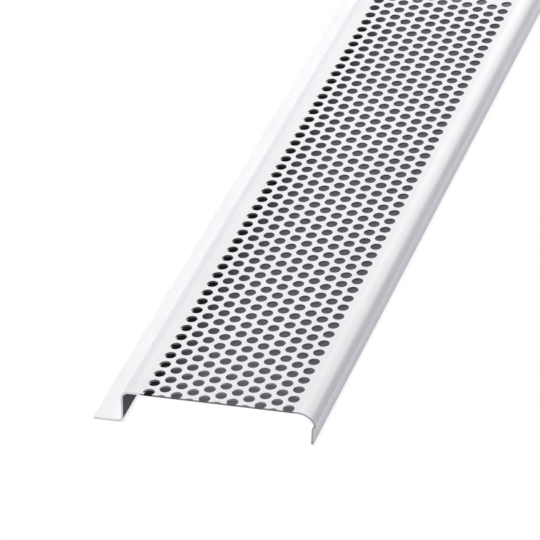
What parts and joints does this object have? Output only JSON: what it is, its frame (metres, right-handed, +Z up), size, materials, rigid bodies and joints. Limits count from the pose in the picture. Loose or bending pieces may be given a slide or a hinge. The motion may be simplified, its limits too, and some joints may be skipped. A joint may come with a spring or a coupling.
{
  "type": "soffit vent",
  "caption": "Strip soffit vent: a folded sheet-metal channel with a perforated web, a flat nailing flange along one edge and a folded leg along the other.",
  "frame": {"origin": "middle of the underside: halfway across and along the strip, at the level of the flange's underside and the leg's end", "axes": "+X across the strip from the nailing flange to the leg, +Y along the strip away from the end that shows, +Z up out of the perforated face"},
  "size_m": [0.0664, 0.252, 0.0105],
  "materials": {
    "white_paint": "white baked enamel, satin, over thin sheet"
  },
  "bodies": {
    "root": {"vent_strip": "white_paint"}
  },
  "joints": []
}
